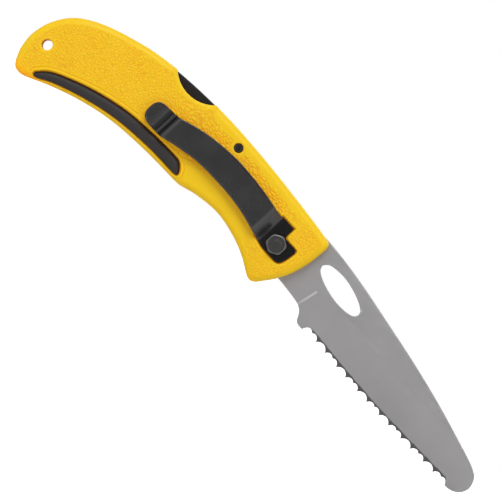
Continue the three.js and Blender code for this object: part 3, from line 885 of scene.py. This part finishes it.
class Shell:
    """A moulded shell: grained flats with a smooth rounded border, a finger groove, a raised
    rim round its inlay, and its pockets and bores."""

    def __init__(self, side, node_name):
        self.side, self.node_name = side, node_name
        lines = outlines(flat_loops(node_name, side * SLOT_FACE), 0.34)
        bore = holding(lines, 0, 0)
        pin = centre_of("lock_bar_pin")
        pin_hole = holding(lines, pin[0], pin[2])
        lanyard = min(lines[1:], key=lambda line: line.points[:, 0].min())
        self.through = [lines[0], bore, pin_hole, lanyard]
        self.pegs = [line for line in lines if line not in self.through]
        self.pocket_floor = CLIP_POCKET_FLOOR if side < 0 else NUT_POCKET_FLOOR
        hardware = outlines(flat_loops(node_name, self.pocket_floor), 0.25)[0].turned()
        inlay_pocket = outlines(flat_loops(node_name, side * INLAY_POCKET_FLOOR), 0.3)[0].turned()
        self.cuts = {
            "inlay": inlay_pocket, "hardware": hardware, "pin": pin_hole, "lanyard": lanyard,
        }

    def distances(self, x, z):
        """Distances from the shell's edge, and from each cut in its face."""
        at = np.stack([x, z], -1)
        away = {name: line.distance(at) for name, line in self.cuts.items()}
        return self.through[0].distance(at), away

    def grain(self, x, z):
        """Height of the grain, from 0 in its creases to 1."""
        seed = GRAIN_SEEDS[self.side]
        coarse = between(x, *COARSE_X)
        small = pebbles(x, z, SMALL_GRAIN, seed)
        large = pebbles(0.75 * x + 0.25 * z, z, LARGE_GRAIN, seed + 20)
        return small * (1 - coarse) + large * coarse

    def outer_height(self, x, z):
        edge, away = self.distances(x, z)
        deep = GRAIN_DEEP * grain_strength(x, z, edge, away)
        face = SHELL_FACE - face_drop(x, z, edge, away)
        return self.side * (face + deep * (self.grain(x, z) - 0.6))

    def slot_height(self, x, z):
        edge = self.through[0].distance(np.stack([x, z], -1))
        return self.side * (SLOT_FACE + rounded_edge(edge, 0.15))

    def crease_shading(self, x, y, z):
        """Painted shade, for the colour: 1 on the tops of the grains, falling to 0 in the creases
        and in the fine line round the inlay.
        """
        edge, away = self.distances(x, z)
        strength = np.clip(grain_strength(x, z, edge, away), 0, 1)
        crease = np.maximum((1 - self.grain(x, z)) * strength, inlay_line(edge, away["inlay"]))
        return np.where(np.abs(y) > SLOT_FACE + 0.5, 1 - crease, 1.0)

    def make(self):
        side, cuts = self.side, self.cuts
        inlay_rings = rings_of(CUTS["inlay"][0], 3) + INLAY_RINGS
        pockets = [
            Inset(cuts["inlay"], side * INLAY_POCKET_FLOOR, 2.0, inlay_rings),
            Inset(cuts["hardware"], self.pocket_floor, 1.5, rings_of(CUTS["hardware"][0], 3)),
        ]
        pegs = [Inset(line, side * PEG_POCKET_FLOOR, 1.0) for line in self.pegs]
        hole_rings = rings_of(0.35, 3)
        rings = [rings_of(BORDER_WIDE, 9), [], hole_rings, hole_rings]
        surface = Surface()
        shown = surface.face(side, self.through, rings, GRAIN_STEP, self.outer_height, pockets)
        rings = [[0.05, 0.15], [], [], []]
        hidden = surface.face(-side, self.through, rings, 3.0, self.slot_height, pegs)
        surface.close(*((shown, hidden) if side < 0 else (hidden, shown)))
        made, co = build(surface, self.node_name)
        # Painted shade for the grain's creases and the inlay's fine line.
        mark(made, "crease_shading", self.crease_shading(*co.T))


# ---- plates

def plate(node_name, rounding, step, near=None, far=None):
    """A plate cut to a CAD node's outline, with rounded edges. near and far are the heights
    of its faces before rounding, as functions of x and z."""
    low, high = span_of(node_name)
    lines = outlines(facing_loops(node_name, -1), min(step, 0.35))
    near = near or (lambda x, z: np.full(len(x), low))
    far = far or (lambda x, z: np.full(len(x), high))

    def edge(x, z):
        at = np.stack([x, z], -1)
        away = np.min([line.distance(at) for line in lines], axis=0)
        return rounded_edge(away, rounding)

    surface = Surface()
    rings = [rings_of(rounding, 4)] * len(lines)
    front = surface.face(-1, lines, rings, step, lambda x, z: near(x, z) + edge(x, z))
    back = surface.face(1, lines, rings, step, lambda x, z: far(x, z) - edge(x, z))
    surface.close(front, back)
    return build(surface, node_name)


def inlay(side, node_name):
    """Rubber inlay: a low crown whose upper edge lies deep in the pocket."""
    low, high = span_of(node_name)
    back, crown = sorted((abs(low), abs(high)))
    lines = outlines(facing_loops(node_name, side), 0.3)[:1]

    def height(x, z):
        at = np.stack([x, z], -1)
        away = lines[0].distance(at)
        raised = at + [0, 0.45]
        inside = lines[0].distance(raised) * np.where(lines[0].contains(raised), 1, -1)
        ramp = np.sqrt(1 - (1 - np.clip((inside + 0.1) / 0.85, 0, 1)) ** 2)
        rise = np.sin(np.clip(away / 2.3, 0, 1) * math.pi / 2)
        dome = (crown - back - CROWN_SHORT) * (0.78 * ramp + 0.22 * rise)
        grain = 0.015 * pebbles(x, z, 0.9, 31) * smoothstep(away, 0.2, 0.6)
        return side * (back + CROWN_LOW + dome - rounded_edge(away, 0.3) + grain)

    surface = Surface()
    shown = surface.face(side, lines, [rings_of(0.55, 6)], 0.3, height)
    hidden = surface.face(-side, lines, [[]], 3.0, side * back)
    surface.close(*((shown, hidden) if side < 0 else (hidden, shown)))
    build(surface, node_name)


def clip_profile(facing):
    """Height of one face of the pocket clip as a function of x, smoothed from the CAD."""
    co, triangles = facing_triangles("pocket_clip", facing)
    table = {}
    for x, y, _ in co[np.unique(triangles)]:
        table.setdefault(round(x, 1), y)
    x = np.array(sorted(table))
    y = np.array([table[key] for key in x])
    fine = np.arange(x[0] - 2, x[-1] + 2, 0.05)
    values = np.interp(fine, x, y)
    reach = 7
    weight = np.hanning(2 * reach + 1)
    values = np.convolve(np.pad(values, reach, "edge"), weight / weight.sum(), "valid")
    return lambda at, _: np.interp(at, fine, values)


def pocket_clip():
    """Bent steel strip; its foot lies deep in the shell."""
    made, co = plate("pocket_clip", 0.28, 0.4, clip_profile(-1), clip_profile(1))
    x = co[:, 0]
    # Painted shade: near black in the two creases of the bend near the tip, and on the foot where it
    # goes down into its pocket.
    crease = between(x, *CLIP_VALLEY) + between(x, *CLIP_BEND)
    mark(made, "deep", np.maximum(smoothstep(x, *CLIP_FOOT), 0.85 * crease))
    # Painted light: the ramp that faces the blade is coloured lighter, as steel.
    mark(made, "bare", 0.16 * between(x, *CLIP_RAMP))


def tail_spacer():
    """Spacer between the shells, with the pegs that locate them."""
    name = "tail_spacer"
    pegs_y = span_of(name)
    lines = outlines(flat_loops(name, -SPACER_HALF), 0.35)
    tops = outlines(flat_loops(name, pegs_y[0]), 0.25)
    pegs = [holding(lines[1:], *top.points.mean(0)) for top in tops]
    through = [line for line in lines if line not in pegs]
    surface = Surface()

    def face(facing, peg_y):
        def height(x, z):
            away = through[0].distance(np.stack([x, z], -1))
            return facing * (SPACER_HALF - rounded_edge(away, SPACER_ROUND))

        insets = [Inset(line, peg_y, 1.0) for line in pegs]
        return surface.face(facing, through, [[0.05, 0.15], []], 1.2, height, insets)

    surface.close(face(-1, pegs_y[0]), face(1, pegs_y[1]))
    build(surface, name)


# ---- blade

def tooth_line(x):
    """z of the line that the teeth's points lie on: a uniform Catmull-Rom curve."""
    points = np.array(TOOTH_LINE, float)
    padded = np.vstack([points[:1], points, points[-1:]])
    t = np.linspace(0, len(points) - 1, 41)
    k = np.minimum(t.astype(int), len(points) - 2)
    w = (t - k)[:, None]
    a, b, c, d = padded[k], padded[k + 1], padded[k + 2], padded[k + 3]
    curve = b + 0.5 * w * (c - a + w * (2 * a - 5 * b + 4 * c - d + w * (3 * (b - c) + d - a)))
    return np.interp(x, curve[:, 0], curve[:, 1])


def scallops():
    """Middle, half width and depth of every scallop."""
    half, depth, reach = SHORT_SCALLOP

    def short_pair(start, end):
        return [(start + reach, half, depth), (end - reach, half, depth)]

    made = short_pair(FIRST_PEAK_X - FIRST_PAIR_LENGTH, FIRST_PEAK_X)
    for k in range(TOOTH_PERIODS):
        start = FIRST_PEAK_X + TOOTH_PERIOD * k
        made.append((start + LONG_SCALLOP[2], LONG_SCALLOP[0], LONG_SCALLOP[1]))
        made += short_pair(start + 2 * LONG_SCALLOP[2], start + TOOTH_PERIOD)
    return made


def ground_half(z):
    return np.interp(-z, [0, -EDGE_Z], [BLADE_HALF, EDGE_HALF])


def grind_half(x, z):
    """Half thickness of the blade: full above the grind and behind the plunge."""
    past = np.clip((x - PLUNGE_LEAN * z - PLUNGE_X) / PLUNGE_WIDE, 0, 1)
    return BLADE_HALF + (ground_half(z) - BLADE_HALF) * past


def scallop_back(x, z):
    """y of the scallops' ground surface, or a high number outside them."""
    best = np.full(len(x), 99.0)
    for middle, half, depth in scallops():
        across = np.abs(x - middle)
        hit = across < half
        arch = np.sqrt(half ** 2 - across[hit] ** 2) - half
        top = tooth_line(middle) + depth + SCALLOP_STRETCH * arch
        best[hit] = np.minimum(best[hit], (z[hit] - top) / SCALLOP_SLOPE)
    return best


def bevel_face(x, z):
    """y of the clip side's edge bevel, or a low number beyond its ends."""
    places, tops = np.transpose(BEVEL_TOP)
    top = tooth_line(x) + np.interp(x, places, tops)
    inside = (x > places[0]) & (x < places[-1])
    return np.where(inside, BEVEL_SLOPE * (top - z) - ground_half(top), -99.0)


def blade():
    """Flat-ground blade with scallops cut from the back and an edge bevel on the clip side."""
    lines = outlines(facing_loops("blade", -1), 0.3)
    outline = lines[0]

    def rounding(x, z):
        at = np.stack([x, z], -1)
        holes = np.min([line.distance(at) for line in lines[1:]], axis=0)
        rim = rounded_edge(outline.distance(at), BLADE_ROUND)
        rim *= np.where((x > 22) & (z < -9.5), 0, 1)
        return rim + rounded_edge(holes, HOLE_ROUND)

    def front(x, z):
        return np.maximum(rounding(x, z) - grind_half(x, z), bevel_face(x, z))

    def back(x, z):
        body = grind_half(x, z) - rounding(x, z)
        return np.maximum(np.minimum(body, scallop_back(x, z)), front(x, z) + THINNEST)

    def from_plunge(x, z):
        return np.abs(x - PLUNGE_LEAN * z - PLUNGE_X - PLUNGE_WIDE / 2)

    def detailed(x, z):
        toothed = (z < TEETH_Z) & (x > TEETH_X)
        return toothed | ((from_plunge(x, z) < 0.8) & (z < 1))

    surface = Surface()
    rings = [rings_of(BLADE_ROUND, 3)] * len(lines)
    near = surface.face(-1, lines, rings, 0.55, front, fine=(0.2, detailed))
    far = surface.face(1, lines, rings, 0.55, back, fine=(0.2, detailed))
    surface.close(near, far)
    made, co = build(surface, "blade")
    x, y, z = co.T
    # Painted shade: the clip side's edge bevel is coloured dark.
    bevelled = (bevel_face(x, z) > -grind_half(x, z) - 0.02) & (y < 0)
    mark(made, "ground", bevelled.astype(float))
    # A painted highlight along the plunge step, and lighter steel in the back's scallop hollows.
    hollow = (scallop_back(x, z) < grind_half(x, z)) & (y >= 0)
    step = (from_plunge(x, z) < PLUNGE_WIDE / 2) & (z > PLUNGE_Z[0]) & (z < PLUNGE_Z[1])
    mark(made, "bright", (hollow | step).astype(float))


# ---- turned pieces

def hexagon(across_flats, turn):
    """Radius of a hexagon over a full turn, with its corners taken off a little."""
    angle = np.degrees(np.arange(HEX_POINTS) * 2 * math.pi / HEX_POINTS)
    off = (angle - turn + 30) % 60 - 30
    radius = across_flats / 2 / np.cos(np.radians(30 - np.abs(off)))
    return np.minimum(radius, across_flats / math.sqrt(3) * HEX_CORNER)


def pivot_bolt():
    """Hex head with a turned chamfer and a dimpled face, and a shank with a thread."""
    outer, end = span_of("pivot_bolt")
    under = outer + HEAD_HIGH
    flat = HEAD_ACROSS / 2
    start, reach, fall = HEAD_CHAMFER
    hexed = hexagon(HEAD_ACROSS, HEX_TURN)
    inner = flat - start
    side_top = outer + fall / (reach + start) * (hexed - inner)
    face = [(0, outer + 0.1)]
    for radius in np.linspace(0.2, inner, 26):
        dimple = 0.06 * (1 - smoothstep(radius, 1.1, 1.9))
        ripple = 0.006 * math.sin(radius * 14)
        face.append((float(radius), outer + float(dimple) + max(ripple, 0)))
    chamfer = [(inner + (hexed - inner) * t, outer + (side_top - outer) * t)
               for t in (0.08, 0.5, 0.94)]
    sides = [(hexed, side_top + 0.03), (hexed, under - 0.08), (hexed - 0.08, under)]
    turn = np.arange(HEX_POINTS) / HEX_POINTS
    shank = [(SHANK_RADIUS, under), (SHANK_RADIUS, end - THREAD_LONG)]
    for y in np.linspace(end - THREAD_LONG + 0.05, end - 0.35, 34):
        phase = (y / THREAD_PITCH - turn) % 1
        shank.append((SHANK_RADIUS - THREAD_DEEP * np.abs(2 * phase - 1), float(y)))
    shank += [(SHANK_RADIUS - 0.3, end - 0.05), (SHANK_RADIUS - 0.4, end), (0, end)]
    made, co = lathed("pivot_bolt", face + chamfer + sides + shank)
    # Painted highlight: the chamfer and the outer half of the head's sides take the steel colour.
    from_axis = np.hypot(co[:, 0], co[:, 2])
    steel_showing = (from_axis > inner + 0.01) & (co[:, 1] < outer + HEAD_HIGH / 2)
    mark(made, "bare", 0.8 * steel_showing)


def pivot_nut():
    """Hex nut with its outer corners chamfered."""
    near, far = span_of("pivot_nut")
    hexed = hexagon(NUT_ACROSS, 0)
    round_face = NUT_ACROSS / 2 - 0.25
    fall = 0.5 * (hexed - round_face)
    rings = [
        (NUT_BORE, near + 0.2), (NUT_BORE + 0.2, near), (hexed - 0.15, near),
        (hexed, near + 0.12), (hexed, far - fall),
        (round_face + (hexed - round_face) * 0.9, far - fall * 0.86),
        (round_face + 0.03, far - 0.01), (round_face - 0.1, far), (NUT_BORE + 0.3, far),
        (NUT_BORE, far - 0.3),
    ]
    lathed("pivot_nut", rings, closed=True)


def lock_bar_pin():
    """Pin with dimpled heads and a thinner shank through the lock bar."""
    x, _, z = centre_of("lock_bar_pin")
    low, high = span_of("lock_bar_pin")
    end = [
        (0, 0), (0.5, 0), (0.55, 0.06), (0.6, 0),
        (PIN_HEAD - PIN_CHAMFER, 0), (PIN_HEAD, PIN_CHAMFER),
    ]
    rings = [(radius, low + y) for radius, y in end]
    rings += [
        (PIN_HEAD, -PIN_SHANK_HALF - 0.1), (PIN_SHANK, -PIN_SHANK_HALF),
        (PIN_SHANK, PIN_SHANK_HALF), (PIN_HEAD, PIN_SHANK_HALF + 0.1),
    ]
    rings += [(radius, high - y) for radius, y in reversed(end)]
    lathed("lock_bar_pin", rings, x=x, z=z, count=64)


def ring(node_name, inner, edge):
    """A washer or a bushing with its edges rounded."""
    low, high = span_of(node_name)
    box_low, box_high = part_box(node_name)
    outer = (box_high.x - box_low.x) / 2 / MM
    rings = [
        (inner, low + edge), (inner + edge, low), (outer - edge, low), (outer, low + edge),
        (outer, high - edge), (outer - edge, high), (inner + edge, high), (inner, high - edge),
    ]
    lathed(node_name, rings, closed=True)


# ---- assembly

Shell(-1, "clip_side_shell").make()
Shell(1, "back_side_shell").make()
inlay(-1, "clip_side_inlay")
inlay(1, "back_side_inlay")
tail_spacer()
pocket_clip()
plate("lock_bar", 0.35, 0.7)
plate("lock_spring", 0.1, 0.4)
blade()
pivot_bolt()
pivot_nut()
lock_bar_pin()
ring("pivot_bushing", BUSHING_BORE, 0.15)
ring("clip_side_washer", WASHER_BORE, 0.08)
ring("back_side_washer", WASHER_BORE, 0.08)


# ---- floor, light and camera

TENT_LEVEL = 1.28
TENT = [                            # share of the light tent's level by how square on it stands:
    (0.0, 0.45), (0.55, 0.5), (0.72, 0.95), (0.87, 1.0), (0.955, 0.14), (1.0, 0.07),
]                                   # bright round the camera and dark where it looks in


def seen_or_lighting(tree, seen, lighting):
    """One shader for what the camera sees, and another for what lights the knife."""
    by_camera = node(tree, "ShaderNodeLightPath").outputs["Is Camera Ray"]
    both = node(tree, "ShaderNodeMixShader", Fac=by_camera)
    feed(tree, both.inputs[1], lighting.outputs[0])
    feed(tree, both.inputs[2], seen.outputs[0])
    return both.outputs[0]


def white_paper(tree, colour, glow):
    return node(tree, "ShaderNodeBsdfPrincipled", Base_Color=colour, Roughness=0.9,
                Emission_Color=(1, 1, 1, 1), Emission_Strength=glow)


def floor():
    low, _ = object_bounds()
    size = 8.0
    count = 24
    ticks = np.linspace(-size, size, count + 1)
    verts = [(x, y, low.z - 0.0002) for y in ticks for x in ticks]
    row = count + 1
    faces = [(j * row + i, j * row + i + 1, (j + 1) * row + i + 1, (j + 1) * row + i)
             for j in range(count) for i in range(count)]
    mesh = bpy.data.meshes.new("floor")
    mesh.from_pydata(verts, [], faces)
    paper = bpy.data.materials.new("paper")
    tree = cleared_tree(paper)
    fibre = mixed(tree, noise(tree, 900, 3), (0.9, 0.9, 0.9, 1), (0.93, 0.93, 0.93, 1))
    seen = white_paper(tree, fibre, 0.5)
    bounced = white_paper(tree, (0.6, 0.6, 0.6, 1), 0.2)
    node(tree, "ShaderNodeOutputMaterial", Surface=seen_or_lighting(tree, seen, bounced))
    mesh.materials.append(paper)
    new_object("floor", mesh)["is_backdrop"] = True


def world():
    made = bpy.data.worlds.new("studio")
    bpy.context.scene.world = made
    tree = cleared_tree(made)
    white = node(tree, "ShaderNodeBackground", Color=(1, 1, 1, 1), Strength=1.0)
    toward = node(tree, "ShaderNodeTexCoord").outputs["Generated"]
    across = node(tree, "ShaderNodeSeparateXYZ", Vector=toward).outputs["Y"]
    tent = node(tree, "ShaderNodeValToRGB", Fac=calculated(tree, "ABSOLUTE", across))
    stops = tent.color_ramp.elements
    for place, _ in TENT[2:]:
        stops.new(place)
    for stop, (place, level) in zip(stops, TENT):
        stop.position = place
        stop.color = (level, level, level, 1)
    strength = calculated(tree, "MULTIPLY", tent.outputs[0], TENT_LEVEL)
    ambient = node(tree, "ShaderNodeBackground", Color=(1, 1, 1, 1), Strength=strength)
    node(tree, "ShaderNodeOutputWorld", Surface=seen_or_lighting(tree, white, ambient))


def softbox(name, place, power, size):
    light = bpy.data.lights.new(name, "AREA")
    light.shape = "SQUARE"
    light.size = size
    light.energy = power
    made = new_object(name, light)
    made.location = place
    made.rotation_mode = "QUATERNION"
    made.rotation_quaternion = (-Vector(place)).to_track_quat("-Z", "Y")


def camera():
    """Looks square at the clip side, rolled so that the knife lies across the picture."""
    roll = math.radians(44.2)
    away = 1.5
    width = 0.165
    centre = Vector((-0.0049, MIDDLE * MM, -0.0073))
    data = bpy.data.cameras.new("camera")
    data.sensor_width = 36
    data.lens = 36 * away / width
    data.clip_start = 0.1
    data.clip_end = 50
    made = new_object("camera", data)
    right = Vector((math.cos(roll), 0, math.sin(roll)))
    up = Vector((-math.sin(roll), 0, math.cos(roll)))
    back = Vector((0, -1, 0))
    turn = Matrix((right, up, back)).transposed().to_4x4()
    made.matrix_world = Matrix.Translation(centre + back * away) @ turn
    bpy.context.scene.camera = made


floor()
world()
softbox("key", (-0.4, -0.9, 0.85), 6.2, 0.6)
softbox("behind", (0.2, 1.1, 0.9), 5, 0.9)
camera()
bpy.context.scene.view_settings.view_transform = "Standard"
